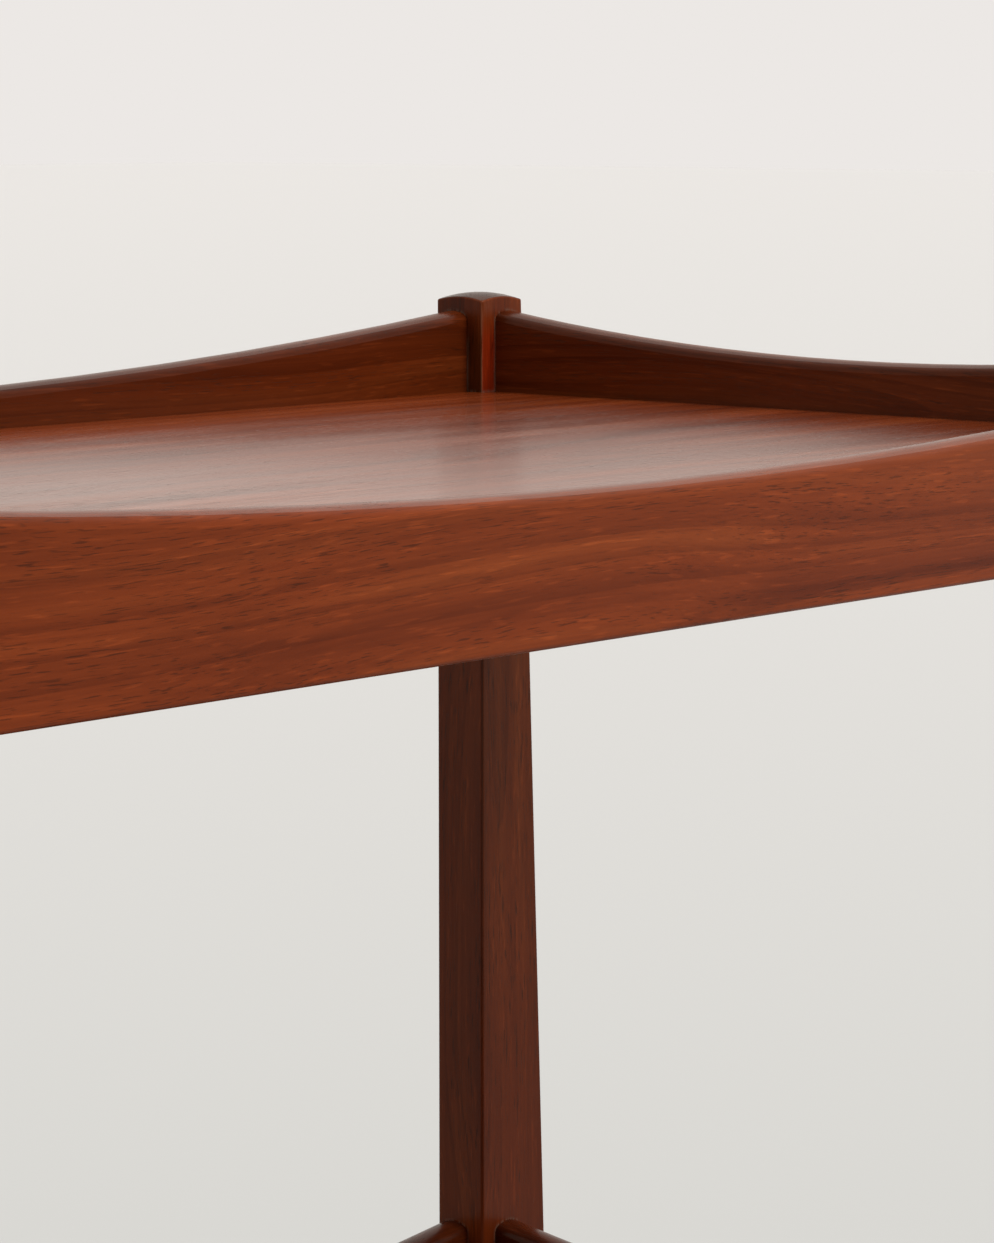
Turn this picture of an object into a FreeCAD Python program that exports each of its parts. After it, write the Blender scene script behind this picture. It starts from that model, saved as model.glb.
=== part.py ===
# Serving trolley: two dished trays between four flared legs, on four swivel castors.
# Millimetres, +X along the trays, +Y across them, +Z up, the floor at zero under the middle.
import math
import os

import FreeCAD
import Part
import Sketcher
from FreeCAD import Vector

doc = FreeCAD.newDocument("ServingTrolley")
sheet = doc.addObject("Spreadsheet::Sheet", "Dimensions")

DRIVING_SIZES = (
    # Outline
    ("top_length", 800),  # over the legs at their heads
    ("top_width", 440),  # over the legs
    ("lower_tray_height", 200),  # floor to the lower tray's surface
    ("tray_spacing", 400),  # from one tray's surface to the other's
    # Legs
    ("post_side", 26),  # square head of a leg
    ("head_height", 42),  # upper tray's surface to the middle of a head
    ("dome_radius", 52),
    ("leg_arris_round", 1.3),
    ("head_round", 0.9),  # round the rim of the domed head
    ("leg_foot_width", 48.5),  # along X, the flare is all on the outer side
    ("foot_chamfer", 0.9),
    # Rails
    ("rail_thickness", 15.5),
    ("rail_reveal", 2),  # a leg's outer face stands out this far
    ("rail_drop", 29),  # below the tray's surface
    ("rail_corner_rise", 34.4),  # above the tray's surface, at the legs
    ("long_rail_middle_rise", 13.7),
    ("end_rail_middle_rise", 20.2),
    ("rail_crown", 2.2),  # rise of the rounded top across the rail
    ("rail_top_round", 3.2),
    ("rail_bottom_round", 1.5),
    ("rail_end_round", 0.4),  # eased shoulder against the leg
    ("crown_overrun", 1.5),  # reach of the crowning cut past the rail's sides
    # Tenons of the rails in the legs
    ("tenon_thickness", 6),
    ("tenon_wall", 1.5),  # wood between the two tenons in one leg
    ("tenon_top_shoulder", 10),
    ("tenon_bottom_shoulder", 8),
    ("tenon_clearance", 0.1),
    ("mortise_end_gap", 0.4),
    # Panels
    ("panel_thickness", 8),
    ("tongue_thickness", 4.5),
    ("tongue_length", 4),
    ("tongue_end_gap", 4),  # from a notch to the end of a tongue
    ("panel_clearance", 0.15),
    ("notch_clearance", 0.25),
    # Castors
    ("castor_height", 62),  # floor to foot
    ("castor_trail", 16),  # swivel axis to wheel axis
    ("wheel_diameter", 48),
    ("tyre_height", 7.5),
    ("tyre_width", 13.5),
    ("tyre_round", 4),
    ("tyre_clearance", 0.05),
    ("hub_width", 15.5),
    ("hub_boss_diameter", 12),
    ("hub_boss_flare", 1),  # the boss widens by this down to the web
    ("hub_web_thickness", 6),
    ("hub_rim_height", 3.5),
    ("hub_rim_inset", 0.5),  # from the tyre's side to the rim's
    ("hub_edge_chamfer", 0.5),
    ("axle_diameter", 6),
    ("axle_head_diameter", 9.5),
    ("axle_head_rise", 1.6),
    ("running_clearance", 0.08),
    ("fixed_clearance", 0.05),
    ("hub_side_gap", 0.4),
    ("fork_thickness", 2.5),
    ("fork_front", 11),
    ("fork_back", 13),
    ("fork_skirt", 8),
    ("fork_boss_radius", 8),
    ("fork_bend_radius", 3.5),
    ("fork_edge_round", 0.8),
    ("washer_diameter", 15),
    ("washer_thickness", 1.5),
    ("washer_edge_chamfer", 0.3),
    ("swivel_gap", 0.3),
    ("stem_diameter", 8),
    ("stem_neck_diameter", 6),
    ("stem_tip_diameter", 7.6),
    ("stem_tip_length", 6),
    ("stem_head_diameter", 12),
    ("stem_head_height", 2),
    ("stem_head_face_diameter", 8.5),  # flat of the riveted head
    ("socket_diameter", 11),
    ("socket_length", 38),
    ("socket_grip_length", 4),
    ("socket_flange_diameter", 20),
    ("socket_flange_thickness", 2),
    ("socket_flange_chamfer", 0.6),
    ("bore_end_gap", 1.5),
    # Stock
    ("cut_allowance", 10),  # reach of a cut past the surface it goes through
)

for row, (alias, number) in enumerate(DRIVING_SIZES, start=1):
    sheet.set(f"A{row}", alias)
    sheet.set(f"B{row}", str(number))
    sheet.setAlias(f"B{row}", alias)
doc.recompute()


class Size:
    """A length with its number and the spreadsheet formula that gives it."""

    def __init__(self, value, formula):
        self.value = value
        self.formula = formula

    def __add__(self, other):
        other = as_size(other)
        return Size(self.value + other.value, f"({self.formula} + {other.formula})")

    def __sub__(self, other):
        other = as_size(other)
        return Size(self.value - other.value, f"({self.formula} - {other.formula})")

    def __mul__(self, other):
        other = as_size(other)
        return Size(self.value * other.value, f"({self.formula} * {other.formula})")

    def __truediv__(self, other):
        other = as_size(other)
        return Size(self.value / other.value, f"({self.formula} / {other.formula})")

    def __neg__(self):
        return Size(-self.value, f"(0 - {self.formula})")

    def root(self):
        return Size(self.value ** 0.5, f"sqrt({self.formula})")


def as_size(item):
    """A plain number as a Size."""
    if isinstance(item, Size):
        return item
    return Size(float(item), str(item))


def size(alias):
    """The driving size of this name."""
    return Size(float(sheet.get(alias)), f"Dimensions.{alias}")


def bind(item, path, length):
    """Set a property from a Size and keep it bound to the sheet."""
    item.setExpression(path, as_size(length).formula)


def arc_radius(half_chord, rise):
    """Radius of the arc that rises this much over half its chord."""
    return (half_chord * half_chord + rise * rise) / (rise * 2)


# Sizes that follow from the driving ones
ZERO = as_size(0)
CUT_ALLOWANCE = size("cut_allowance")
POST_SIDE = size("post_side")
REVEAL = size("rail_reveal")
RAIL_THICKNESS = size("rail_thickness")
INNER_X = size("top_length") / 2 - POST_SIDE
INNER_Y = size("top_width") / 2 - POST_SIDE
LOWER_TRAY = size("lower_tray_height")
UPPER_TRAY = LOWER_TRAY + size("tray_spacing")
TRAYS = (("upper", UPPER_TRAY), ("lower", LOWER_TRAY))
FOOT = size("castor_height")
LEG_TOP = UPPER_TRAY + size("head_height")
RAIL_SETBACK = POST_SIDE - REVEAL - RAIL_THICKNESS  # leg's inner face to the rail's inner face
RAIL_AXIS = RAIL_SETBACK + RAIL_THICKNESS / 2
TENON_THICKNESS = size("tenon_thickness")
TENON_LENGTH = RAIL_AXIS - TENON_THICKNESS / 2 - size("tenon_wall")
TENON_TOP = size("rail_corner_rise") - size("tenon_top_shoulder")
TENON_BOTTOM = size("tenon_bottom_shoulder") - size("rail_drop")
TONGUE_TOP = size("tongue_thickness") - size("panel_thickness")
PANEL_BOTTOM = -size("panel_thickness")
WHEEL_RADIUS = size("wheel_diameter") / 2
TYRE_SEAT = WHEEL_RADIUS - size("tyre_height")
AXLE_RADIUS = size("axle_diameter") / 2
FORK_INNER = size("hub_width") / 2 + size("hub_side_gap")
FORK_OUTER = FORK_INNER + size("fork_thickness")
FLANGE_BOTTOM = FOOT - size("socket_flange_thickness")
WASHER_TOP = FLANGE_BOTTOM - size("swivel_gap")
FORK_TOP = WASHER_TOP - size("washer_thickness")
CROWN_BOTTOM = FORK_TOP - size("fork_thickness")
STEM_RADIUS = size("stem_diameter") / 2
SOCKET_TOP = FOOT + size("socket_length")
GRIP_BOTTOM = SOCKET_TOP - size("socket_grip_length")
SWIVEL_INSET = size("leg_foot_width") / 2

ALONG_ANGLE = 25  # degrees, the most that an edge leans from the axis it runs along
TURNED_CUT_ANGLE = 60  # degrees, more than any piece spans about the axis of its cut
LEAST_CUT = 1  # cubic millimetres


class Arc:
    """Marks the next outline segment as an arc of this radius, bulging left or right of its direction."""

    def __init__(self, radius, bulges_left):
        self.radius = radius
        self.bulges_left = bulges_left


def arc_between(start, end, radius, bulges_left):
    """The shorter arc between two points, as an anticlockwise arc about +Z."""
    chord = end - start
    left = Vector(-chord.y, chord.x, 0).normalize()
    stand_off = max(radius ** 2 - (chord.Length / 2) ** 2, 0) ** 0.5
    centre = (start + end) / 2 - left * (stand_off if bulges_left else -stand_off)
    first, last = (end, start) if bulges_left else (start, end)
    first_angle = math.atan2(first.y - centre.y, first.x - centre.x)
    last_angle = math.atan2(last.y - centre.y, last.x - centre.x)
    circle = Part.Circle(centre, Vector(0, 0, 1), radius)
    return Part.ArcOfCircle(circle, first_angle, last_angle)


def new_body(label):
    body = doc.addObject("PartDesign::Body", label)
    body.Label = label
    return body


def new_sketch(body, plane, offset=None):
    """A sketch on one of the body's own planes, moved along the plane's normal."""
    sketch = body.newObject("Sketcher::SketchObject", "Sketch")
    planes = {feature.Role: feature for feature in body.Origin.OriginFeatures}
    sketch.AttachmentSupport = (planes[plane], [""])
    sketch.MapMode = "FlatFace"
    if offset is not None:
        bind(sketch, "AttachmentOffset.Base.z", offset)
    return sketch


def fix_point(sketch, geometry, position, x, y):
    """Hold one point of a sketch at a pair of Sizes."""
    for kind, length in (("DistanceX", x), ("DistanceY", y)):
        rule = Sketcher.Constraint(kind, -1, 1, geometry, position, as_size(length).value)
        number = sketch.addConstraint(rule)
        name = f"{kind}_{number}"
        sketch.renameConstraint(number, name)
        bind(sketch, f"Constraints.{name}", length)


def fix_radius(sketch, geometry, radius):
    number = sketch.addConstraint(Sketcher.Constraint("Radius", geometry, radius.value))
    name = f"Radius_{number}"
    sketch.renameConstraint(number, name)
    bind(sketch, f"Constraints.{name}", radius)


def add_outline(sketch, items):
    """A closed outline through (x, y) points, with an Arc before each point that an arc leads to."""
    points = []
    arcs = {}
    for item in items:
        if isinstance(item, Arc):
            arcs[len(points) - 1] = item
        else:
            points.append((as_size(item[0]), as_size(item[1])))
    spots = [Vector(x.value, y.value, 0) for x, y in points]
    ends = []
    for index, start in enumerate(spots):
        end = spots[(index + 1) % len(spots)]
        arc = arcs.get(index)
        if arc is None:
            number = sketch.addGeometry(Part.LineSegment(start, end), False)
            ends.append((number, 1, 2))
            continue
        number = sketch.addGeometry(arc_between(start, end, arc.radius.value, arc.bulges_left), False)
        ends.append((number, 2, 1) if arc.bulges_left else (number, 1, 2))
    for index, (number, first, last) in enumerate(ends):
        following, following_first, _ = ends[(index + 1) % len(ends)]
        sketch.addConstraint(Sketcher.Constraint("Coincident", number, last, following, following_first))
        fix_point(sketch, number, first, *points[index])
        if index in arcs:
            fix_radius(sketch, number, arcs[index].radius)


def add_rectangle(sketch, left, right, bottom, top):
    add_outline(sketch, ((left, bottom), (right, bottom), (right, top), (left, top)))


def add_hollow(sketch, middle, reach, edge, radius, top, axis_height):
    """What lies above a convex arc, with a level axis line to turn it about."""
    left = middle - reach
    right = middle + reach
    add_outline(sketch, ((left, top), (left, edge), Arc(radius, True), (right, edge), (right, top)))
    start = Vector(left.value, axis_height.value, 0)
    end = Vector(right.value, axis_height.value, 0)
    axis = sketch.addGeometry(Part.LineSegment(start, end), True)
    fix_point(sketch, axis, 1, left, axis_height)
    fix_point(sketch, axis, 2, right, axis_height)


def add_circle(sketch, x, y, radius):
    circle = Part.Circle(Vector(x.value, y.value, 0), Vector(0, 0, 1), radius.value)
    number = sketch.addGeometry(circle, False)
    fix_point(sketch, number, 3, x, y)
    fix_radius(sketch, number, radius)


def pad(body, sketch, length, symmetric=True):
    feature = body.newObject("PartDesign::Pad", "Pad")
    feature.Profile = sketch
    feature.SideType = "Symmetric" if symmetric else "One side"
    bind(feature, "Length", length)
    doc.recompute()
    return feature


def pocket(body, sketch, length, symmetric=False, upward=False):
    """A cut that has to take some material away."""
    before = body.Shape.Volume
    feature = body.newObject("PartDesign::Pocket", "Pocket")
    feature.Profile = sketch
    feature.SideType = "Symmetric" if symmetric else "One side"
    feature.Reversed = upward
    bind(feature, "Length", length)
    doc.recompute()
    assert feature.Shape.Volume < before - LEAST_CUT, f"{body.Label}: a pocket cut nothing"
    return feature


def revolve(body, sketch, axis):
    feature = body.newObject("PartDesign::Revolution", "Revolution")
    feature.Profile = sketch
    feature.ReferenceAxis = (sketch, [axis])
    feature.Angle = 360
    doc.recompute()
    return feature


def turned_cut(body, sketch):
    """A cut turned about the sketch's own axis line, as far to both sides as any piece reaches."""
    before = body.Shape.Volume
    feature = body.newObject("PartDesign::Groove", "Groove")
    feature.Profile = sketch
    feature.ReferenceAxis = (sketch, ["Axis0"])
    feature.Angle = TURNED_CUT_ANGLE
    feature.Midplane = True
    doc.recompute()
    assert feature.Shape.Volume < before - LEAST_CUT, f"{body.Label}: a groove cut nothing"
    return feature


def runs_along(part_of_direction):
    """Whether a unit direction lies close to the axis that this part of it belongs to."""
    return abs(part_of_direction) > math.cos(math.radians(ALONG_ANGLE))


def edges_where(shape, wanted):
    """Names of a shape's edges whose middle point and direction pass a test."""
    names = []
    for index, edge in enumerate(shape.Edges, start=1):
        if edge.Degenerated:
            continue
        low, high = edge.ParameterRange
        middle = edge.valueAt((low + high) / 2)
        direction = edge.tangentAt((low + high) / 2)
        if wanted(middle, direction):
            names.append(f"Edge{index}")
    return names


def soften(body, kind, amount, wanted, count):
    """Fillet or chamfer a known number of edges."""
    base = body.Tip
    names = edges_where(base.Shape, wanted)
    assert len(names) == count, f"{body.Label}: {len(names)} edges to soften, not {count}"
    feature = body.newObject(f"PartDesign::{kind}", kind)
    feature.Base = (base, names)
    bind(feature, "Radius" if kind == "Fillet" else "Size", amount)
    doc.recompute()
    return feature


def place(body, x, y, z, turn=0):
    """Put a body in the frame, turned about Z by whole degrees."""
    body.Placement = FreeCAD.Placement(Vector(), FreeCAD.Rotation(Vector(0, 0, 1), turn))
    for axis, length in (("x", x), ("y", y), ("z", z)):
        bind(body, f"Placement.Base.{axis}", length)


def near(value, length, tolerance=0.01):
    return abs(value - length.value) < tolerance


def make_leg(label):
    """The back right leg, with x from its inner face outward and y from the middle of its thickness."""
    body = new_body(label)
    half = POST_SIDE / 2
    side = new_sketch(body, "XZ_Plane")
    add_outline(side, ((0, FOOT), (size("leg_foot_width"), FOOT), (POST_SIDE, LEG_TOP), (0, LEG_TOP)))
    pad(body, side, POST_SIDE)

    # Domed head, part of a sphere
    radius = size("dome_radius")
    reach = POST_SIDE
    centre = LEG_TOP - radius
    rim = centre + (radius * radius - reach * reach).root()
    dome = new_sketch(body, "XZ_Plane")
    add_hollow(dome, half, reach, rim, radius, LEG_TOP + CUT_ALLOWANCE, centre)
    turned_cut(body, dome)

    def is_arris(middle, direction):
        return runs_along(direction.z)

    def is_head_rim(middle, direction):
        return middle.z > UPPER_TRAY.value and not runs_along(direction.z)

    def is_foot_rim(middle, direction):
        return near(middle.z, FOOT)

    soften(body, "Fillet", size("leg_arris_round"), is_arris, 4)
    soften(body, "Fillet", size("head_round"), is_head_rim, 8)
    soften(body, "Chamfer", size("foot_chamfer"), is_foot_rim, 8)

    # Mortises for the long rails, from the inner X face
    slack = size("tenon_clearance")
    depth = TENON_LENGTH + size("mortise_end_gap")
    thick = TENON_THICKNESS / 2 + slack
    across = RAIL_AXIS - half
    mortises = new_sketch(body, "YZ_Plane")
    for _, level in TRAYS:
        bottom = level + TENON_BOTTOM - slack
        top = level + TENON_TOP + slack
        add_rectangle(mortises, across - thick, across + thick, bottom, top)
    pocket(body, mortises, depth, upward=True)

    # Mortises for the end rails, from the inner Y face
    mortises = new_sketch(body, "XZ_Plane", half)
    for _, level in TRAYS:
        bottom = level + TENON_BOTTOM - slack
        top = level + TENON_TOP + slack
        add_rectangle(mortises, RAIL_AXIS - thick, RAIL_AXIS + thick, bottom, top)
    pocket(body, mortises, depth)

    # Blind bore for the castor's socket
    bore = new_sketch(body, "XY_Plane", FOOT)
    add_circle(bore, SWIVEL_INSET, ZERO, size("socket_diameter") / 2 + size("fixed_clearance"))
    pocket(body, bore, size("socket_length") + size("stem_tip_length") + size("bore_end_gap"), upward=True)
    place(body, INNER_X, size("top_width") / 2 - half, 0)
    return body


def mirror(source, label, normal):
    """The same piece on the other side of the trolley's middle plane."""
    copy = doc.addObject("Part::Mirroring", label)
    copy.Label = label
    copy.Source = source
    copy.Base = Vector(0, 0, 0)
    copy.Normal = normal
    doc.recompute()
    return copy


def make_rail(label, half_length, middle_rise):
    """A rail along X, its inner side towards -Y, with zero height at the tray's surface."""
    body = new_body(label)
    half = RAIL_THICKNESS / 2
    corner_rise = size("rail_corner_rise")
    block = new_sketch(body, "XZ_Plane")
    add_rectangle(block, -half_length, half_length, -size("rail_drop"), corner_rise + size("rail_crown"))
    pad(body, block, RAIL_THICKNESS)

    tenons = new_sketch(body, "YZ_Plane")
    add_rectangle(tenons, -(TENON_THICKNESS / 2), TENON_THICKNESS / 2, TENON_BOTTOM, TENON_TOP)
    pad(body, tenons, (half_length + TENON_LENGTH) * 2)

    # Dished along the rail and crowned across it, in one cut about a far axis across the rail
    dish_radius = arc_radius(half_length, corner_rise - middle_rise)
    crown_radius = arc_radius(half, size("rail_crown"))
    reach = half + size("crown_overrun")
    brink = middle_rise - crown_radius + (crown_radius * crown_radius - reach * reach).root()
    crown = new_sketch(body, "YZ_Plane")
    top = corner_rise + CUT_ALLOWANCE
    add_hollow(crown, ZERO, reach, brink, crown_radius, top, middle_rise + dish_radius)
    turned_cut(body, crown)

    def is_top_arris(middle, direction):
        return middle.z > 0 and runs_along(direction.x) and near(abs(middle.y), half)

    def is_bottom_arris(middle, direction):
        return near(middle.z, -size("rail_drop")) and runs_along(direction.x)

    def is_shoulder_rim(middle, direction):
        on_tenon_side = near(abs(middle.y), TENON_THICKNESS / 2)
        on_tenon_edge = near(middle.z, TENON_TOP) or near(middle.z, TENON_BOTTOM)
        return near(abs(middle.x), half_length) and not on_tenon_side and not on_tenon_edge

    soften(body, "Fillet", size("rail_top_round"), is_top_arris, 2)
    soften(body, "Fillet", size("rail_bottom_round"), is_bottom_arris, 2)
    soften(body, "Fillet", size("rail_end_round"), is_shoulder_rim, 16)

    # Groove for the panel's tongue
    slack = size("panel_clearance")
    groove = new_sketch(body, "XZ_Plane", half)
    add_rectangle(groove, -half_length, half_length, PANEL_BOTTOM - slack, TONGUE_TOP + slack)
    pocket(body, groove, size("tongue_length") + slack)
    return body


def add_notched_outline(sketch, half_x, half_y, corner_x, corner_y):
    """A rectangle with a square notch at each corner."""
    add_outline(sketch, (
        (corner_x, -half_y), (corner_x, -corner_y), (half_x, -corner_y),
        (half_x, corner_y), (corner_x, corner_y), (corner_x, half_y),
        (-corner_x, half_y), (-corner_x, corner_y), (-half_x, corner_y),
        (-half_x, -corner_y), (-corner_x, -corner_y), (-corner_x, -half_y),
    ))


def make_panel(label):
    """A tray's panel, its surface at zero height, with a tongue all round its lower edge."""
    body = new_body(label)
    slack = size("panel_clearance")
    corner_x = INNER_X - size("notch_clearance")
    corner_y = INNER_Y - size("notch_clearance")
    field_x = INNER_X + RAIL_SETBACK - slack
    field_y = INNER_Y + RAIL_SETBACK - slack
    field = new_sketch(body, "XY_Plane", PANEL_BOTTOM)
    add_notched_outline(field, field_x, field_y, corner_x, corner_y)
    pad(body, field, size("panel_thickness"), symmetric=False)

    def is_notch_corner(middle, direction):
        return runs_along(direction.z) and near(abs(middle.x), corner_x) and near(abs(middle.y), corner_y)

    soften(body, "Fillet", size("leg_arris_round") + size("notch_clearance"), is_notch_corner, 4)
    tongue_x = field_x + size("tongue_length")
    tongue_y = field_y + size("tongue_length")
    long_tongue = new_sketch(body, "XY_Plane", PANEL_BOTTOM)
    inset = size("tongue_end_gap")
    add_rectangle(long_tongue, inset - corner_x, corner_x - inset, -tongue_y, tongue_y)
    pad(body, long_tongue, size("tongue_thickness"), symmetric=False)
    end_tongue = new_sketch(body, "XY_Plane", PANEL_BOTTOM)
    add_rectangle(end_tongue, -tongue_x, tongue_x, inset - corner_y, corner_y - inset)
    pad(body, end_tongue, size("tongue_thickness"), symmetric=False)
    return body


def make_socket(label):
    body = new_body(label)
    bore = STEM_RADIUS + size("running_clearance")
    flange = size("socket_flange_diameter") / 2
    sleeve = size("socket_diameter") / 2
    grip = size("stem_neck_diameter") / 2 + size("running_clearance")
    section = new_sketch(body, "XZ_Plane")
    add_outline(section, (
        (bore, FLANGE_BOTTOM), (flange, FLANGE_BOTTOM), (flange, FOOT), (sleeve, FOOT),
        (sleeve, SOCKET_TOP), (grip, SOCKET_TOP), (grip, GRIP_BOTTOM), (bore, GRIP_BOTTOM),
    ))
    revolve(body, section, "V_Axis")

    def is_flange_edge(middle, direction):
        return near(middle.z, FLANGE_BOTTOM) and near(math.hypot(middle.x, middle.y), flange)

    soften(body, "Chamfer", size("socket_flange_chamfer"), is_flange_edge, 1)
    return body


def make_washer(label):
    body = new_body(label)
    section = new_sketch(body, "XZ_Plane")
    bore = STEM_RADIUS + size("fixed_clearance")
    rim = size("washer_diameter") / 2
    add_rectangle(section, bore, rim, FORK_TOP, WASHER_TOP)
    revolve(body, section, "V_Axis")

    def is_rim_edge(middle, direction):
        on_face = near(middle.z, FORK_TOP) or near(middle.z, WASHER_TOP)
        return on_face and near(math.hypot(middle.x, middle.y), rim)

    soften(body, "Chamfer", size("washer_edge_chamfer"), is_rim_edge, 2)
    return body


def make_stem(label):
    """A pin with a riveted head under the fork's crown and a neck for the socket's grip."""
    body = new_body(label)
    gap = size("swivel_gap")
    head = size("stem_head_diameter") / 2
    head_face = size("stem_head_face_diameter") / 2
    head_bottom = CROWN_BOTTOM - size("stem_head_height")
    head_middle = CROWN_BOTTOM - size("stem_head_height") / 2
    neck = size("stem_neck_diameter") / 2
    tip = size("stem_tip_diameter") / 2
    neck_top = SOCKET_TOP + gap
    tip_top = neck_top + size("stem_tip_length") - gap
    shoulder = tip_top - tip
    section = new_sketch(body, "XZ_Plane")
    add_outline(section, (
        (0, head_bottom), (head_face, head_bottom), (head, head_middle), (head, CROWN_BOTTOM),
        (STEM_RADIUS, CROWN_BOTTOM), (STEM_RADIUS, GRIP_BOTTOM - gap), (neck, GRIP_BOTTOM - gap),
        (neck, neck_top), (tip, neck_top), (tip, shoulder), Arc(tip, False), (0, tip_top),
    ))
    revolve(body, section, "V_Axis")
    return body


def tangent_spot(point, centre, radius, upper):
    """Where the line from a point touches a circle."""
    away = point - centre
    reach = away.Length
    along = radius * radius / reach
    aside = radius * (reach * reach - radius * radius) ** 0.5 / reach
    direction = away / reach
    left = Vector(-direction.y, direction.x, 0)
    return centre + direction * along + left * (aside if upper else -aside)


def make_fork(label):
    """A bent fork: its cheeks lean back from the crown to the axle."""
    body = new_body(label)
    front = size("fork_front")
    back = -size("fork_back")
    brow = FORK_TOP - size("fork_skirt")
    axle_x = -size("castor_trail")
    boss = size("fork_boss_radius")
    centre = Vector(axle_x.value, WHEEL_RADIUS.value, 0)
    front_top = Vector(front.value, FORK_TOP.value, 0)
    front_brow = Vector(front.value, brow.value, 0)
    back_top = Vector(back.value, FORK_TOP.value, 0)
    back_brow = Vector(back.value, brow.value, 0)
    front_touch = tangent_spot(front_brow, centre, boss.value, False)
    back_touch = tangent_spot(back_brow, centre, boss.value, True)
    below = centre + (centre - (front_brow + back_brow) / 2).normalize() * boss.value

    cheek = new_sketch(body, "XZ_Plane")
    top = cheek.addGeometry(Part.LineSegment(back_top, front_top), False)
    nose = cheek.addGeometry(Part.LineSegment(front_top, front_brow), False)
    front_edge = cheek.addGeometry(Part.LineSegment(front_brow, front_touch), False)
    end = cheek.addGeometry(Part.Arc(back_touch, below, front_touch), False)
    back_edge = cheek.addGeometry(Part.LineSegment(back_touch, back_brow), False)
    tail = cheek.addGeometry(Part.LineSegment(back_brow, back_top), False)
    for first, second in ((top, nose), (nose, front_edge), (back_edge, tail), (tail, top)):
        cheek.addConstraint(Sketcher.Constraint("Coincident", first, 2, second, 1))
    cheek.addConstraint(Sketcher.Constraint("Tangent", front_edge, 2, end, 2))
    cheek.addConstraint(Sketcher.Constraint("Tangent", end, 1, back_edge, 1))
    fix_point(cheek, top, 1, back, FORK_TOP)
    fix_point(cheek, nose, 1, front, FORK_TOP)
    fix_point(cheek, front_edge, 1, front, brow)
    fix_point(cheek, tail, 1, back, brow)
    fix_point(cheek, end, 3, axle_x, WHEEL_RADIUS)
    fix_radius(cheek, end, boss)
    pad(body, cheek, FORK_OUTER * 2)

    def is_bend(middle, direction):
        return near(middle.z, FORK_TOP) and runs_along(direction.x)

    soften(body, "Fillet", size("fork_bend_radius"), is_bend, 2)

    # Room for the wheel between the cheeks
    bend = size("fork_bend_radius") / 2
    room = new_sketch(body, "YZ_Plane")
    add_outline(room, (
        (-FORK_INNER, 0), (FORK_INNER, 0), (FORK_INNER, CROWN_BOTTOM - bend), Arc(bend, False),
        (FORK_INNER - bend, CROWN_BOTTOM), (bend - FORK_INNER, CROWN_BOTTOM), Arc(bend, False),
        (-FORK_INNER, CROWN_BOTTOM - bend),
    ))
    pocket(body, room, (boss - axle_x + CUT_ALLOWANCE) * 2, symmetric=True)
    axle_hole = new_sketch(body, "XZ_Plane")
    add_circle(axle_hole, axle_x, WHEEL_RADIUS, AXLE_RADIUS + size("fixed_clearance"))
    pocket(body, axle_hole, (FORK_OUTER + CUT_ALLOWANCE) * 2, symmetric=True)
    stem_hole = new_sketch(body, "XY_Plane", FORK_TOP)
    add_circle(stem_hole, ZERO, ZERO, STEM_RADIUS + size("fixed_clearance"))
    pocket(body, stem_hole, size("fork_thickness") + CUT_ALLOWANCE)

    def is_outer_edge(middle, direction):
        level = near(abs(direction.x), as_size(1))
        from_axle = math.hypot(middle.x - axle_x.value, middle.z - WHEEL_RADIUS.value)
        past_hole = from_axle > (AXLE_RADIUS + boss).value / 2
        on_cheek = near(abs(middle.y), FORK_OUTER) and past_hole
        on_end = near(middle.x, front) or near(middle.x, back)
        on_crown = on_end and middle.z > CROWN_BOTTOM.value and not near(middle.z, CROWN_BOTTOM)
        return not level and (on_cheek or on_crown)

    soften(body, "Fillet", size("fork_edge_round"), is_outer_edge, 16)
    return body


def make_axle(label):
    """A pin along Y with a low domed head on both sides of the fork."""
    body = new_body(label)
    head = size("axle_head_diameter") / 2
    rise = size("axle_head_rise")
    dome = arc_radius(head, rise)
    section = new_sketch(body, "YZ_Plane")
    add_outline(section, (
        (-(FORK_OUTER + rise), 0), (FORK_OUTER + rise, 0), Arc(dome, False), (FORK_OUTER, head),
        (FORK_OUTER, AXLE_RADIUS), (-FORK_OUTER, AXLE_RADIUS), (-FORK_OUTER, head), Arc(dome, False),
    ))
    revolve(body, section, "H_Axis")
    return body


def make_hub(label):
    """A turned hub: boss, web and a rim that the tyre sits on."""
    body = new_body(label)
    bore = AXLE_RADIUS + size("running_clearance")
    boss = size("hub_boss_diameter") / 2
    end = size("hub_width") / 2
    web = size("hub_web_thickness") / 2
    rim = size("tyre_width") / 2 - size("hub_rim_inset")
    boss_foot = boss + size("hub_boss_flare")
    seat = TYRE_SEAT - size("tyre_clearance")
    inside = seat - size("hub_rim_height")
    section = new_sketch(body, "YZ_Plane")
    add_outline(section, (
        (-end, bore), (end, bore), (end, boss), (web, boss_foot), (web, inside), (rim, inside),
        (rim, seat), (-rim, seat), (-rim, inside), (-web, inside), (-web, boss_foot), (-end, boss),
    ))
    revolve(body, section, "H_Axis")

    def is_outer_edge(middle, direction):
        on_boss = near(abs(middle.y), end) and near(math.hypot(middle.x, middle.z), boss)
        return on_boss or near(abs(middle.y), rim)

    soften(body, "Chamfer", size("hub_edge_chamfer"), is_outer_edge, 6)
    return body


def make_tyre(label):
    body = new_body(label)
    half = size("tyre_width") / 2
    round_radius = size("tyre_round")
    shoulder = WHEEL_RADIUS - round_radius
    tread = half - round_radius
    section = new_sketch(body, "YZ_Plane")
    add_outline(section, (
        (-half, TYRE_SEAT), (half, TYRE_SEAT), (half, shoulder), Arc(round_radius, False),
        (tread, WHEEL_RADIUS), (-tread, WHEEL_RADIUS), Arc(round_radius, False), (-half, shoulder),
    ))
    revolve(body, section, "H_Axis")
    return body


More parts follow.
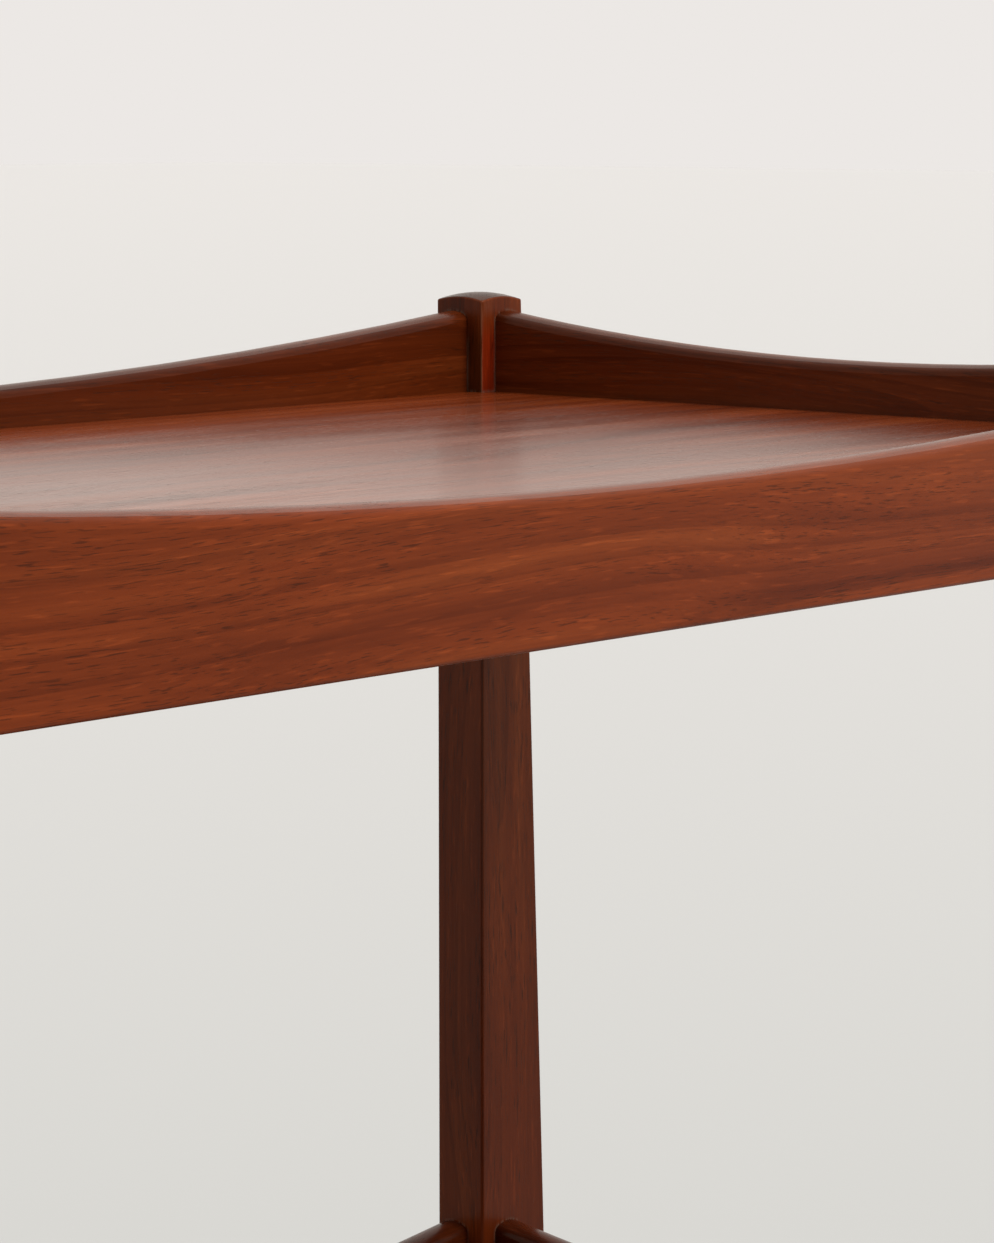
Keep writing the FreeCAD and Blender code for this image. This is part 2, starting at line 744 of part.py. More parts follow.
nodes = []

# Four legs, each the mirror image of its neighbour
leg = make_leg("leg_back_right")
leg_front = mirror(leg, "leg_front_right", Vector(0, 1, 0))
nodes += [leg, leg_front]
nodes.append(mirror(leg, "leg_back_left", Vector(1, 0, 0)))
nodes.append(mirror(leg_front, "leg_front_left", Vector(1, 0, 0)))

# Two trays
rail_x = INNER_X + RAIL_AXIS
rail_y = INNER_Y + RAIL_AXIS
for tray, level in TRAYS:
    for where, side, turn in (("back", 1, 0), ("front", -1, 180)):
        rail = make_rail(f"{tray}_long_rail_{where}", INNER_X, size("long_rail_middle_rise"))
        place(rail, 0, rail_y * side, level, turn)
        nodes.append(rail)
    for where, side, turn in (("right", 1, -90), ("left", -1, 90)):
        rail = make_rail(f"{tray}_end_rail_{where}", INNER_Y, size("end_rail_middle_rise"))
        place(rail, rail_x * side, 0, level, turn)
        nodes.append(rail)
    panel = make_panel(f"{tray}_panel")
    place(panel, 0, 0, level)
    nodes.append(panel)

# Four castors, their wheels trailing towards the middle
swivel_x = INNER_X + SWIVEL_INSET
swivel_y = INNER_Y + POST_SIDE / 2
axle_x = swivel_x - size("castor_trail")
for depth_name, depth_side in (("back", 1), ("front", -1)):
    for side_name, side, turn in (("right", 1, 0), ("left", -1, 180)):
        corner = f"{depth_name}_{side_name}"
        for name, make in (
            ("castor_socket", make_socket),
            ("castor_washer", make_washer),
            ("castor_stem", make_stem),
            ("castor_fork", make_fork),
        ):
            piece = make(f"{name}_{corner}")
            place(piece, swivel_x * side, swivel_y * depth_side, 0, turn)
            nodes.append(piece)
        for name, make in (("wheel_axle", make_axle), ("wheel_hub", make_hub), ("wheel_tyre", make_tyre)):
            piece = make(f"{name}_{corner}")
            place(piece, axle_x * side, swivel_y * depth_side, WHEEL_RADIUS, turn)
            nodes.append(piece)

doc.recompute()
for item in doc.Objects:
    assert not {"Invalid", "Error"} & set(item.State), f"{item.Label}: {item.State}"
os.makedirs("parts", exist_ok=True)
for node in nodes:
    shape = node.Shape
    assert not shape.isNull() and shape.isValid(), f"{node.Label}: bad shape"
    assert len(shape.Solids) == 1, f"{node.Label}: {len(shape.Solids)} solids"
    shape.exportStep(f"parts/{node.Label}.step")
    box = shape.optimalBoundingBox(False)
    extent = " x ".join(f"{length:.2f}" for length in (box.XLength, box.YLength, box.ZLength))
    print(f"{node.Label}: {extent} mm")
print(len(nodes), "nodes")
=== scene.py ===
# Looks of the serving trolley: lacquered reddish brown wood, brass castors and rubber tyres.
import math

import bpy
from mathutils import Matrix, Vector


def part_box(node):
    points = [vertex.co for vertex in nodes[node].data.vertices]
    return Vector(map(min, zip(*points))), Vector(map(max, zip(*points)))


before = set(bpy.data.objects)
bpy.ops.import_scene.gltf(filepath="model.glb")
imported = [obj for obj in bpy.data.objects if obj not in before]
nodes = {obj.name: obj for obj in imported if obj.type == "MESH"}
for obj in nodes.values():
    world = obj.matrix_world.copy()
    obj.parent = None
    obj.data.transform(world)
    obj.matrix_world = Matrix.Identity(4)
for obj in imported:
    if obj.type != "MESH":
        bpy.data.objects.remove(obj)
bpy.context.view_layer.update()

# Shader nodes: rays of a Bevel or Ambient Occlusion node, a Mix node's colour sockets,
# and where a ramp's new stop is put until it gets its own place
RAY_COUNT = 4
MIX_FIRST = 6
MIX_SECOND = 7
MIX_RESULT = 2
NEW_STOP = 0.5

# A range, here and below, is the value at which something begins to show and that at which it is full
EDGE_TURN = (0.99, 0.85)
CORNER_OPENNESS = (0.95, 0.5)


class Shader:
    """The nodes of a material or a world, built one at a time."""

    def __init__(self, owner):
        owner.use_nodes = True
        self.owner = owner
        self.tree = owner.node_tree
        self.tree.nodes.clear()

    def add(self, kind, inputs=None, **settings):
        """Add a node. Inputs are given by name or number, as a socket to link or a plain value."""
        node = self.tree.nodes.new(kind)
        for name, value in settings.items():
            setattr(node, name, value)
        for key, value in (inputs or {}).items():
            self.put(node.inputs[key], value)
        return node

    def put(self, socket, value):
        if isinstance(value, bpy.types.NodeSocket):
            self.tree.links.new(value, socket)
        else:
            socket.default_value = value

    def math(self, operation, first, second=0.0, clamp=False):
        node = self.add("ShaderNodeMath", {0: first, 1: second}, operation=operation, use_clamp=clamp)
        return node.outputs[0]

    def times(self, first, second):
        return self.math("MULTIPLY", first, second)

    def vector(self, operation, first, second):
        node = self.add("ShaderNodeVectorMath", {0: first, 1: second}, operation=operation)
        return node.outputs["Vector"]

    def split(self, vector):
        return self.add("ShaderNodeSeparateXYZ", {0: vector}).outputs

    def join(self, *parts):
        return self.add("ShaderNodeCombineXYZ", dict(enumerate(parts))).outputs[0]

    def noise(self, vector, stretch, detail=2.0, roughness=0.5):
        """Noise on a vector that is scaled by one number or by three."""
        if isinstance(stretch, tuple):
            vector = self.vector("MULTIPLY", vector, stretch)
            stretch = 1.0
        inputs = {"Vector": vector, "Scale": stretch, "Detail": detail, "Roughness": roughness}
        return self.add("ShaderNodeTexNoise", inputs).outputs["Fac"]

    def ramp(self, factor, stops):
        node = self.add("ShaderNodeValToRGB", {"Fac": factor})
        elements = node.color_ramp.elements
        while len(elements) < len(stops):
            elements.new(NEW_STOP)
        for element, (position, colour) in zip(elements, stops):
            element.position = position
            element.color = (*colour, 1.0)
        return node.outputs["Color"]

    def level(self, factor, low, high, low_value=0.0, high_value=1.0):
        """Spread a range of a value over another, held at both ends."""
        inputs = {"Value": factor, "From Min": low, "From Max": high}
        inputs.update({"To Min": low_value, "To Max": high_value})
        node = self.add("ShaderNodeMapRange", inputs, clamp=True, interpolation_type="SMOOTHSTEP")
        return node.outputs[0]

    def mix(self, factor, first, second, blend="MIX"):
        inputs = {"Factor": factor, MIX_FIRST: first, MIX_SECOND: second}
        node = self.add("ShaderNodeMix", inputs, data_type="RGBA", blend_type=blend)
        return node.outputs[MIX_RESULT]

    def shade(self, colour, amount, factor):
        """Multiply a colour by a grey or tinted factor where an amount says so."""
        return self.mix(amount, colour, (*factor, 1.0), "MULTIPLY")

    def tint(self, colour, share, factor, stops):
        """Multiply a colour by a ramp's colours, as strongly as a share says."""
        return self.mix(share, colour, self.ramp(factor, stops), "MULTIPLY")

    def bump(self, height, strength, distance):
        inputs = {"Height": height, "Strength": strength, "Distance": distance}
        return self.add("ShaderNodeBump", inputs).outputs["Normal"]

    def surface(self, inputs):
        shader = self.add("ShaderNodeBsdfPrincipled", inputs)
        return self.add("ShaderNodeOutputMaterial", {"Surface": shader.outputs[0]})

    def position(self):
        return self.add("ShaderNodeTexCoord").outputs["Object"]

    def facing(self):
        return self.add("ShaderNodeTexCoord").outputs["Normal"]

    def edges(self, width):
        """One along the edges of a solid, zero away from them."""
        rounded = self.add("ShaderNodeBevel", {"Radius": width}, samples=RAY_COUNT).outputs["Normal"]
        true_normal = self.add("ShaderNodeNewGeometry").outputs["Normal"]
        turn = self.add("ShaderNodeVectorMath", {0: rounded, 1: true_normal}, operation="DOT_PRODUCT")
        return self.level(turn.outputs["Value"], *EDGE_TURN)

    def corners(self, reach):
        """One in the corners between pieces, zero away from them."""
        openness = self.add("ShaderNodeAmbientOcclusion", {"Distance": reach}, samples=RAY_COUNT)
        return self.level(openness.outputs["AO"], *CORNER_OPENNESS)

    def seen_directly(self):
        """One for rays from the camera, and for what gloss and glass show, otherwise zero."""
        paths = self.add("ShaderNodeLightPath").outputs
        seen = self.math("MAXIMUM", paths["Is Camera Ray"], paths["Is Glossy Ray"])
        return self.math("MAXIMUM", seen, paths["Is Transmission Ray"])


def new_shader(name):
    return Shader(bpy.data.materials.new(name))


# Wood: each layer of its figure is noise, by its repeats in a metre across, into and along the grain,
# its detail and its roughness
GRAIN_ORDER = {"X": ("Y", "Z", "X"), "Y": ("X", "Z", "Y"), "Z": ("X", "Y", "Z")}
FIGURE = {
    "bands": ((70.0, 70.0, 1.4), 4.0, 0.55),
    "broad": ((26.0, 26.0, 0.9), 2.0, 0.5),
    "growth": ((18.0, 18.0, 0.4), 1.0, 0.5),
    "fibres": ((650.0, 650.0, 7.0), 3.0, 0.6),
    "flecks": ((900.0, 900.0, 60.0), 1.0, 0.5),
    "pores": ((2400.0, 2400.0, 110.0), 1.0, 0.5),
    "pore_spread": ((120.0, 120.0, 6.0), 2.0, 0.5),
    "wear_and_glint": ((30.0, 30.0, 4.0), 4.0, 0.6),
}
COARSE_PORES = {"pores": ((1300.0, 1300.0, 90.0), 1.0, 0.5)}
NOISE_MIDDLE = 0.5
WAVES = (8.0, 8.0, 2.0)
WAVE_SIZE = 0.05
PATCHES = 3.5
SEED_STEPS = (0.377, 0.619, 0.853)

# Colours of the wood, and the shares with which its layers change them
DARK_WOOD = (0.132, 0.0202, 0.0038)
MIDDLE_WOOD = (0.203, 0.0348, 0.0066)
LIGHT_WOOD = (0.265, 0.0538, 0.0113)
BANDS = ((0.28, DARK_WOOD), (0.5, MIDDLE_WOOD), (0.72, LIGHT_WOOD))
CLOUDS = ((0.3, (0.80, 0.78, 0.76)), (0.7, (1.16, 1.18, 1.2)))
CLOUD_SHARE = 0.8
STREAKS = ((0.32, (0.74, 0.70, 0.68)), (0.6, (1.08, 1.09, 1.1)))
STREAK_SHARE = 0.8
THREADS = ((0.3, (0.76, 0.73, 0.71)), (0.7, (1.12, 1.13, 1.13)))
THREAD_SHARE = 0.7
RING_COUNT = 14.0
RING_RISE = (0.45, 0.97)
RING_FALL = (1.0, 0.97)
LATE_WOOD = (0.60, 0.54, 0.50)
LATE_WOOD_SHARE = 0.5
FLECK_LIGHT = (1.3, 1.36, 1.42)
FLECK_RANGE = (0.60, 0.72)
PORE_COLOUR = (0.016, 0.005, 0.002, 1.0)
PORE_DEPTH = 0.55
PORE_RANGE = (0.57, 0.69)
PORE_SPREAD_RANGE = (0.3, 0.6)
# Edges lighter in patches: partly wear, partly a painted glint along them
EDGE_WIDTH = 0.0012
EDGE_WEAR_AND_GLINT = (1.5, 1.6, 1.7)
EDGE_RANGE = (0.42, 0.66)
END_GRAIN = (0.41, 0.45, 0.46)
END_GRAIN_RANGE = (0.7, 0.95)
BARE_WOOD = (0.9, 1.15, 1.35)
UNDERSIDE_RANGE = (-0.7, -0.95)
# Painted shade: wood is darkened in the corners between pieces, as far as this reach
PAINTED_CORNER_SHADE = (0.62, 0.55, 0.5)
CORNER_SHADE_REACH = 0.008

# Lacquer: how its roughness departs from a finish's own, and its relief
LACQUER_RANGE = (0.3, 0.75)
LEAST_ROUGHER = -0.02
MOST_ROUGHER = 0.05
PORE_ROUGHNESS = 0.12
BARE_ROUGHNESS = 0.4
FIBRE_RELIEF = 0.2
RELIEF_STRENGTH = 0.25
LACQUER_IOR = 1.5

# Finishes: solid wood, as rails and as posts, and the veneer of the trays
SOLID = {"gloss": 0.24, "shine": 0.12, "tint": (1.0, 0.9, 0.8, 1.0), "relief": 0.00006, "corner_shade": 0.3}
RAIL = {**SOLID, "crowned": True}
POST = {**SOLID, "lit_and_marked": True, "figure": COARSE_PORES}
VENEER = {"gloss": 0.2, "shine": 0.5, "tint": (1.0, 0.89, 0.78, 1.0), "relief": 0.000002, "corner_shade": 1.0}

# Painted light and shade on the legs and rails, and old polish on the legs
TRAY_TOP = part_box("upper_panel")[1][2]
LOWER_TRAY_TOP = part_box("lower_panel")[1][2]
TRAY_FADE = 0.01
# Painted shade on the legs' faces that look along Y, below the upper tray
PAINTED_SIDE_SHADE = (0.8, 0.95, 1.0)
SIDE_SHADE_RANGE = (0.6, 0.9)
# Painted light and shade on a leg's inner faces just above the upper tray: its height, the height
# where it is full, the faces it takes, and its tints, darker along X and redder along Y
CORNER_LIGHT_HEIGHT = 0.037
CORNER_LIGHT_FULL = 0.5 * CORNER_LIGHT_HEIGHT
CORNER_LIGHT_RANGE = (-0.6, -0.9)
CORNER_LIGHT_AND_SHADE = {"X": (0.6, 0.7, 0.7), "Y": (1.4, 0.65, 0.5)}
# Painted highlight along the legs' arrises above the tray, and painted dark reflection along them
# below it
ARRIS_RANGE = (0.25, 0.6)
ARRIS_HIGHLIGHT = (1.7, 3.0, 7.0)
ARRIS_HIGHLIGHT_RANGE = (0.3, 0.5)
ARRIS_DARK_REFLECTION = (0.42, 0.4, 0.38)
LEAST_DARK_REFLECTION = 0.35
# Pale lines in a leg's corners: partly old polish, partly painted glints
POLISH_AND_GLINT = (0.19, 0.12, 0.085, 1.0)
POLISH_AND_GLINT_REACH = 0.0015
POLISH_AND_GLINT_RANGE = (0.4, 0.55)
POLISH_AND_GLINT_SHARE = 0.6
# Painted shade on the inner slopes of the rails' crowned tops, by the axis across them
PAINTED_SLOPE_SHADE = {"X": (0.62, 0.6, 0.58), "Y": (0.82, 0.8, 0.78)}
INNER_RANGE = (-0.1, -0.4)
SLOPE_RANGE = (0.1, 0.45)


def outward(shader, place, facing, axis):
    """How far a surface faces away from the trolley's middle along an axis."""
    return shader.times(facing[axis], shader.math("SIGN", place[axis]))


def light_and_mark_post(shader, colour, place, facing, breaks):
    """Paint light and shade onto a leg: shaded and lit faces by the upper tray, a highlight and a dark
    reflection along its arrises, and pale lines of old polish and glints in its corners.
    """
    height = place["Z"]
    above = shader.level(height, TRAY_TOP - TRAY_FADE, TRAY_TOP)
    upward = shader.level(height, LOWER_TRAY_TOP, TRAY_TOP)
    turned = {axis: shader.math("ABSOLUTE", facing[axis]) for axis in "XY"}

    # Painted shade: the faces that look along Y are made less red below the upper tray, most just
    # under it
    side_shade = shader.times(
        shader.level(turned["Y"], *SIDE_SHADE_RANGE),
        shader.math("SUBTRACT", upward, above, clamp=True),
    )
    colour = shader.shade(colour, side_shade, PAINTED_SIDE_SHADE)

    # Painted light and shade inside the tray's corner, just above the tray: the inner faces that look
    # along X are darkened as if in shade, and those along Y made redder as if lit by light thrown up
    # from the tray
    low = shader.level(height, TRAY_TOP + CORNER_LIGHT_HEIGHT, TRAY_TOP + CORNER_LIGHT_FULL)
    corner_light_and_shade = shader.times(above, low)
    for axis, tone_and_light in CORNER_LIGHT_AND_SHADE.items():
        inside = shader.level(outward(shader, place, facing, axis), *CORNER_LIGHT_RANGE)
        colour = shader.shade(colour, shader.times(corner_light_and_shade, inside), tone_and_light)

    # Painted highlight along the arrises above the tray, broken in patches, and painted dark
    # reflection along them below it, weaker towards the lower tray
    arris = shader.level(shader.math("MINIMUM", turned["X"], turned["Y"]), *ARRIS_RANGE)
    wear_and_glint = shader.times(arris, shader.level(breaks, *ARRIS_HIGHLIGHT_RANGE))
    colour = shader.shade(colour, shader.times(wear_and_glint, above), ARRIS_HIGHLIGHT)
    dark_reflection = shader.math("SUBTRACT", arris, above, clamp=True)
    dark_reflection = shader.times(dark_reflection, shader.level(upward, 0.0, 1.0, LEAST_DARK_REFLECTION, 1.0))
    colour = shader.shade(colour, dark_reflection, ARRIS_DARK_REFLECTION)

    # Pale lines in the corners between the leg and what it holds: partly old polish dried pale, partly
    # painted glints along the joints
    residue_and_glint = shader.times(shader.corners(POLISH_AND_GLINT_REACH), shader.level(breaks, *POLISH_AND_GLINT_RANGE))
    return shader.mix(shader.times(residue_and_glint, POLISH_AND_GLINT_SHARE), colour, POLISH_AND_GLINT)


def shade_rail_slope(shader, colour, place, facing, across):
    """Painted shade: darken the inner slope of a rail's crowned top, which light from above would make
    bright.
    """
    inside = shader.level(outward(shader, place, facing, across), *INNER_RANGE)
    slope_shade = shader.times(inside, shader.level(facing["Z"], *SLOPE_RANGE))
    return shader.shade(colour, slope_shade, PAINTED_SLOPE_SHADE[across])


def wood(name, grain, seed, tone_and_light, finish):
    """Lacquered open-pored hardwood with its grain along one axis."""
    shader = new_shader(name)
    place = shader.split(shader.position())
    facing = shader.split(shader.facing())
    along_grain = shader.join(*(place[axis] for axis in GRAIN_ORDER[grain]))
    start = tuple((seed * step) % 1.0 for step in SEED_STEPS)
    along_grain = shader.vector("ADD", along_grain, start)

    # The grain wanders a little, and every layer follows it
    waves = shader.noise(along_grain, WAVES)
    shift = shader.times(shader.math("SUBTRACT", waves, NOISE_MIDDLE), WAVE_SIZE)
    bent = shader.vector("ADD", along_grain, shader.join(shift, shift))
    figure = {**FIGURE, **finish.get("figure", {})}
    layer = {key: shader.noise(bent, *values) for key, values in figure.items()}
    patches = shader.noise(along_grain, PATCHES)
    rings = shader.math("FRACT", shader.times(layer["growth"], RING_COUNT))
    late_wood = shader.times(shader.level(rings, *RING_RISE), shader.level(rings, *RING_FALL))
    spread = shader.level(layer["pore_spread"], *PORE_SPREAD_RANGE)
    open_pores = shader.times(shader.level(layer["pores"], *PORE_RANGE), spread)
    # Edges lighter in patches: partly wear, partly a painted glint
    worn_and_glint = shader.times(shader.edges(EDGE_WIDTH), shader.level(layer["wear_and_glint"], *EDGE_RANGE))
    end_grain = shader.level(shader.math("ABSOLUTE", facing[grain]), *END_GRAIN_RANGE)
    underside = shader.level(facing["Z"], *UNDERSIDE_RANGE)
    # Painted shade in the corners between pieces, strongest on the trays' veneer
    corner_shade = shader.times(shader.corners(CORNER_SHADE_REACH), finish["corner_shade"])

    stops = [(position, [part * tone_and_light for part in shown]) for position, shown in BANDS]
    colour = shader.ramp(layer["bands"], stops)
    colour = shader.tint(colour, CLOUD_SHARE, patches, CLOUDS)
    colour = shader.tint(colour, STREAK_SHARE, layer["broad"], STREAKS)
    colour = shader.shade(colour, shader.times(late_wood, LATE_WOOD_SHARE), LATE_WOOD)
    colour = shader.tint(colour, THREAD_SHARE, layer["fibres"], THREADS)
    colour = shader.shade(colour, shader.level(layer["flecks"], *FLECK_RANGE), FLECK_LIGHT)
    colour = shader.mix(shader.times(open_pores, PORE_DEPTH), colour, PORE_COLOUR)
    colour = shader.shade(colour, worn_and_glint, EDGE_WEAR_AND_GLINT)
    colour = shader.shade(colour, end_grain, END_GRAIN)
    colour = shader.shade(colour, underside, BARE_WOOD)
    colour = shader.shade(colour, corner_shade, PAINTED_CORNER_SHADE)
    # Painted shade on the rails' crowns
    if finish.get("crowned"):
        colour = shade_rail_slope(shader, colour, place, facing, GRAIN_ORDER[grain][0])
    # Painted light and shade, and old polish, on the legs
    if finish.get("lit_and_marked"):
        colour = light_and_mark_post(shader, colour, place, facing, layer["flecks"])

    # Lacquer: an even gloss, a little duller along some fibres, in the pores and on bare undersides
    smoothest = finish["gloss"] + LEAST_ROUGHER
    roughest = finish["gloss"] + MOST_ROUGHER
    roughness = shader.level(layer["wear_and_glint"], *LACQUER_RANGE, smoothest, roughest)
    roughness = shader.math("ADD", roughness, shader.times(open_pores, PORE_ROUGHNESS))
    bare = shader.times(underside, BARE_ROUGHNESS)
    roughness = shader.math("ADD", roughness, bare, clamp=True)
    relief = shader.math("SUBTRACT", shader.times(layer["fibres"], FIBRE_RELIEF), open_pores)
    shader.surface({
        "Base Color": colour,
        "Roughness": roughness,
        "Normal": shader.bump(relief, RELIEF_STRENGTH, finish["relief"]),
        "IOR": LACQUER_IOR,
        "Specular IOR Level": finish["shine"],
        "Specular Tint": finish["tint"],
    })
    return shader.owner


# Metal: noise by its repeats in a metre, detail and roughness
TARNISH = (60.0, 8.0, 0.6)
TARNISH_RANGE = (0.36, 0.72)
SPECKS = (900.0, 3.0)
SPECK_COLOURS = ((0.3, (0.86, 0.85, 0.83)), (0.7, (1.05, 1.05, 1.05)))
SPECK_SHARE = 0.6
SPECK_STRENGTH = 0.2
SPECK_RELIEF = 0.00006
METAL_EDGE = 0.0008
BRASS = {
    "colour": (0.66, 0.43, 0.15, 1.0),
    "dull_colour": (0.40, 0.25, 0.095, 1.0),
    "roughness": 0.24,
    "spread": 0.22,
}
STEEL = {
    "colour": (0.6, 0.6, 0.61, 1.0),
    "dull_colour": (0.34, 0.32, 0.3, 1.0),
    "roughness": 0.28,
    "spread": 0.2,
}


def metal(name, colour, dull_colour, roughness, spread):
    """Old turned or pressed metal, dulled in patches and bright along its edges."""
    shader = new_shader(name)
    place = shader.position()
    tarnish = shader.level(shader.noise(place, *TARNISH), *TARNISH_RANGE)
    specks = shader.noise(place, *SPECKS)
    fading = shader.math("SUBTRACT", tarnish, shader.edges(METAL_EDGE), clamp=True)
    shown = shader.mix(fading, colour, dull_colour)
    shader.surface({
        "Base Color": shader.tint(shown, SPECK_SHARE, specks, SPECK_COLOURS),
        "Metallic": 1.0,
        "Roughness": shader.level(fading, 0.0, 1.0, roughness, roughness + spread),
        "Normal": shader.bump(specks, SPECK_STRENGTH, SPECK_RELIEF),
    })
    return shader.owner


# Rubber: noise of its dust, as for metal, and of its grain
DUST = (260.0, 8.0, 0.72)
DUST_COLOURS = ((0.4, (0.013, 0.013, 0.013)), (0.75, (0.04, 0.037, 0.034)))
DUST_RANGE = (0.3, 0.7)
CLEAN_ROUGHNESS = 0.48
DUSTY_ROUGHNESS = 0.68
RUBBER_GRAIN = 1500.0
RUBBER_STRENGTH = 0.25
RUBBER_RELIEF = 0.0001
RUBBER_SHINE = 0.3


def rubber(name):
    """Black rubber with a little dust."""
    shader = new_shader(name)
    place = shader.position()
    dust = shader.noise(place, *DUST)
    grain = shader.noise(place, RUBBER_GRAIN)
    shader.surface({
        "Base Color": shader.ramp(dust, DUST_COLOURS),
        "Roughness": shader.level(dust, *DUST_RANGE, CLEAN_ROUGHNESS, DUSTY_ROUGHNESS),
        "Normal": shader.bump(grain, RUBBER_STRENGTH, RUBBER_RELIEF),
        "Specular IOR Level": RUBBER_SHINE,
    })
    return shader.owner


def dress(name, material):
    for slot in nodes[name].material_slots:
        slot.material = material


# Pieces of wood: the axis that their grain follows, tone and seed of the figure, and finish
# The tones are partly painted light and shade: the front rails are made lighter, and the back rails
# and the lower tray's back rails darker
TIMBER = {
    "leg_back_right": ("Z", 0.64, 205, POST),
    "leg_back_left": ("Z", 0.68, 2, POST),
    "leg_front_right": ("Z", 0.70, 3, POST),
    "leg_front_left": ("Z", 0.62, 4, POST),
    "upper_long_rail_back": ("X", 0.53, 141, RAIL),
    "upper_long_rail_front": ("X", 1.04, 176, RAIL),
    "upper_end_rail_right": ("Y", 0.53, 194, RAIL),
    "upper_end_rail_left": ("Y", 0.66, 8, RAIL),
    "upper_panel": ("X", 1.06, 9, VENEER),
    "lower_long_rail_back": ("X", 0.38, 10, RAIL),
    "lower_long_rail_front": ("X", 0.90, 11, RAIL),
    "lower_end_rail_right": ("Y", 0.46, 12, RAIL),
    "lower_end_rail_left": ("Y", 0.66, 13, RAIL),
    "lower_panel": ("X", 1.06, 14, VENEER),
}
for name, (grain, tone_and_light, seed, finish) in TIMBER.items():
    dress(name, wood(f"wood_{name}", grain, seed, tone_and_light, finish))

# Pieces of the castors
CORNERS = ("back_right", "back_left", "front_right", "front_left")
BRASS_PIECES = ("castor_socket", "castor_fork", "wheel_hub")
STEEL_PIECES = ("castor_washer", "castor_stem", "wheel_axle")
brass = metal("old_brass", **BRASS)
steel = metal("turned_steel", **STEEL)
black_rubber = rubber("black_rubber")
for corner in CORNERS:
    for piece in BRASS_PIECES:
        dress(f"{piece}_{corner}", brass)
    for piece in STEEL_PIECES:
        dress(f"{piece}_{corner}", steel)
    dress(f"wheel_tyre_{corner}", black_rubber)

# Stage: a wide pale floor that fades into a pale wall with distance
WALL_COLOUR = (0.839, 0.807, 0.783, 1.0)
WALL_IN_GLOSS = (0.850, 0.800, 0.735, 1.0)
NEAR_FLOOR = (0.495, 0.505, 0.489, 1.0)
FAR_FLOOR = (0.672, 0.657, 0.644, 1.0)
FLOOR_BOUNCE = (0.40, 0.392, 0.384, 1.0)
FLOOR_ROUGHNESS = 0.85
FLOOR_SHINE = 0.1
FLOOR_HALF = 40.0
FADE_DISTANCE = 2.5


def make_floor():
    """A floor that can be seen from above only, so that the underside can be looked at."""
    shader = new_shader("pale_floor")
    length = shader.add("ShaderNodeVectorMath", {0: shader.position()}, operation="LENGTH")
    distance = length.outputs["Value"]
    fade = shader.math("DIVIDE", distance, shader.math("ADD", distance, FADE_DISTANCE))
    colour = shader.mix(fade, NEAR_FLOOR, FAR_FLOOR)
    colour = shader.mix(shader.seen_directly(), FLOOR_BOUNCE, colour)
    inputs = {"Base Color": colour, "Roughness": FLOOR_ROUGHNESS, "Specular IOR Level": FLOOR_SHINE}
    top = shader.add("ShaderNodeBsdfPrincipled", inputs).outputs[0]
    clear = shader.add("ShaderNodeBsdfTransparent").outputs[0]
    from_below = shader.add("ShaderNodeNewGeometry").outputs["Backfacing"]
    one_sided = shader.add("ShaderNodeMixShader", {0: from_below, 1: top, 2: clear}).outputs[0]
    shader.add("ShaderNodeOutputMaterial", {"Surface": one_sided})
    signs = ((-1, -1), (1, -1), (1, 1), (-1, 1))
    mesh = bpy.data.meshes.new("floor")
    mesh.from_pydata([(x * FLOOR_HALF, y * FLOOR_HALF, 0.0) for x, y in signs], [], [(0, 1, 2, 3)])
    mesh.materials.append(shader.owner)
    floor = bpy.data.objects.new("floor", mesh)
    bpy.context.scene.collection.objects.link(floor)


# Light: the room's, by height and from left to right, and a sun as wide as a big window
ROOM_LIGHT = (1.0, 0.993, 0.986, 1.0)
GLOW_HEIGHTS = (-0.1, 0.8)
LOW_GLOW = 0.42
HIGH_GLOW = 0.95
GLOW_SIDES = (-1.0, 0.3)
LEFT_GLOW = 0.6
RIGHT_GLOW = 1.0
KEY = {"direction": (0.1, -0.62, 0.78), "spread": 25.0, "strength": 2.0, "colour": (1.0, 0.97, 0.93)}


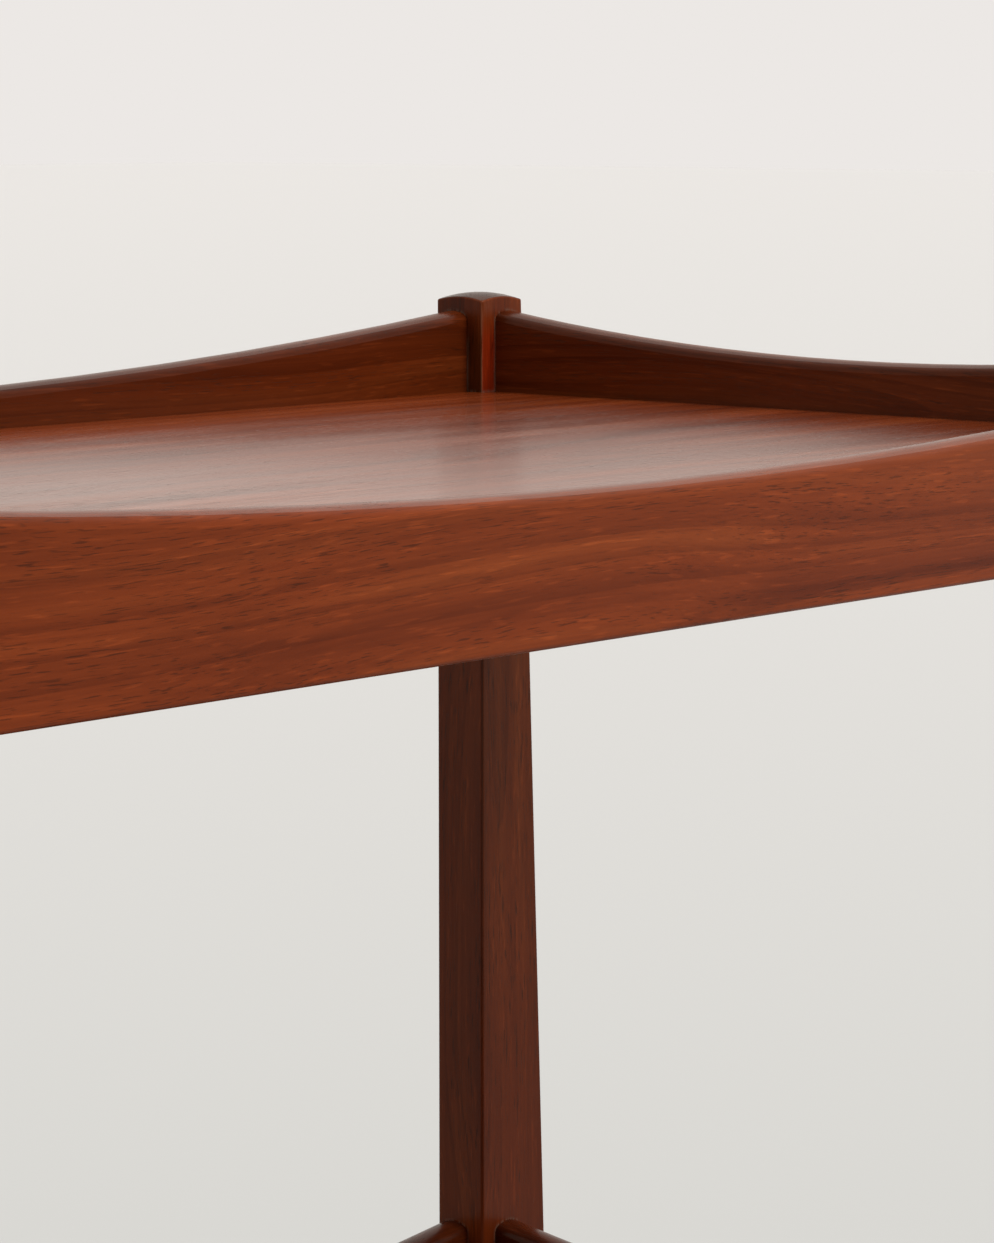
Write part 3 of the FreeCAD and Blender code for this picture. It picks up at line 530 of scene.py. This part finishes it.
def make_world():
    """A pale room lit mostly from above. The camera and the lacquer see an even pale wall."""
    room = Shader(bpy.data.worlds.new("pale_room"))
    bpy.context.scene.world = room.owner
    direction = room.split(room.add("ShaderNodeTexCoord").outputs["Generated"])
    by_height = room.level(direction["Z"], *GLOW_HEIGHTS, LOW_GLOW, HIGH_GLOW)
    by_side = room.level(direction["X"], *GLOW_SIDES, LEFT_GLOW, RIGHT_GLOW)
    glow = room.times(by_height, by_side)
    light = room.add("ShaderNodeBackground", {"Color": ROOM_LIGHT, "Strength": glow})
    in_gloss = room.add("ShaderNodeLightPath").outputs["Is Glossy Ray"]
    wall = room.add("ShaderNodeBackground", {"Color": room.mix(in_gloss, WALL_COLOUR, WALL_IN_GLOSS)})
    inputs = {0: room.seen_directly(), 1: light.outputs[0], 2: wall.outputs[0]}
    mixed = room.add("ShaderNodeMixShader", inputs)
    room.add("ShaderNodeOutputWorld", {"Surface": mixed.outputs[0]})


def soft_sun(name, direction, spread, strength, colour):
    lamp = bpy.data.lights.new(name, "SUN")
    lamp.angle = math.radians(spread)
    lamp.energy = strength
    lamp.color = colour
    lamp_object = bpy.data.objects.new(name, lamp)
    lamp_object.rotation_mode = "QUATERNION"
    lamp_object.rotation_quaternion = (-Vector(direction)).to_track_quat("-Z", "Y")
    bpy.context.scene.collection.objects.link(lamp_object)


make_floor()
make_world()
soft_sun("key", **KEY)

# The photograph's camera, found by fitting the trolley's edges
PHOTO_HEIGHT = 1243.0
FOCAL_PIXELS = 3984.3
SENSOR = 36.0
CAMERA_PLACE = (-0.9017, -0.9230, 0.7187)
TILT = math.radians(7.294)
HEADING = math.radians(40.991)
CLIP_START = 0.05
CLIP_END = 200.0
camera_data = bpy.data.cameras.new("photo_camera")
camera_data.sensor_width = SENSOR
camera_data.lens = FOCAL_PIXELS / PHOTO_HEIGHT * SENSOR
camera_data.clip_start = CLIP_START
camera_data.clip_end = CLIP_END
camera = bpy.data.objects.new("photo_camera", camera_data)
camera.location = CAMERA_PLACE
forward = Vector((
    math.cos(HEADING) * math.cos(TILT),
    math.sin(HEADING) * math.cos(TILT),
    -math.sin(TILT),
))
camera.rotation_mode = "QUATERNION"
camera.rotation_quaternion = forward.to_track_quat("-Z", "Y")
bpy.context.scene.collection.objects.link(camera)
bpy.context.scene.camera = camera
bpy.context.scene.view_settings.view_transform = "Standard"
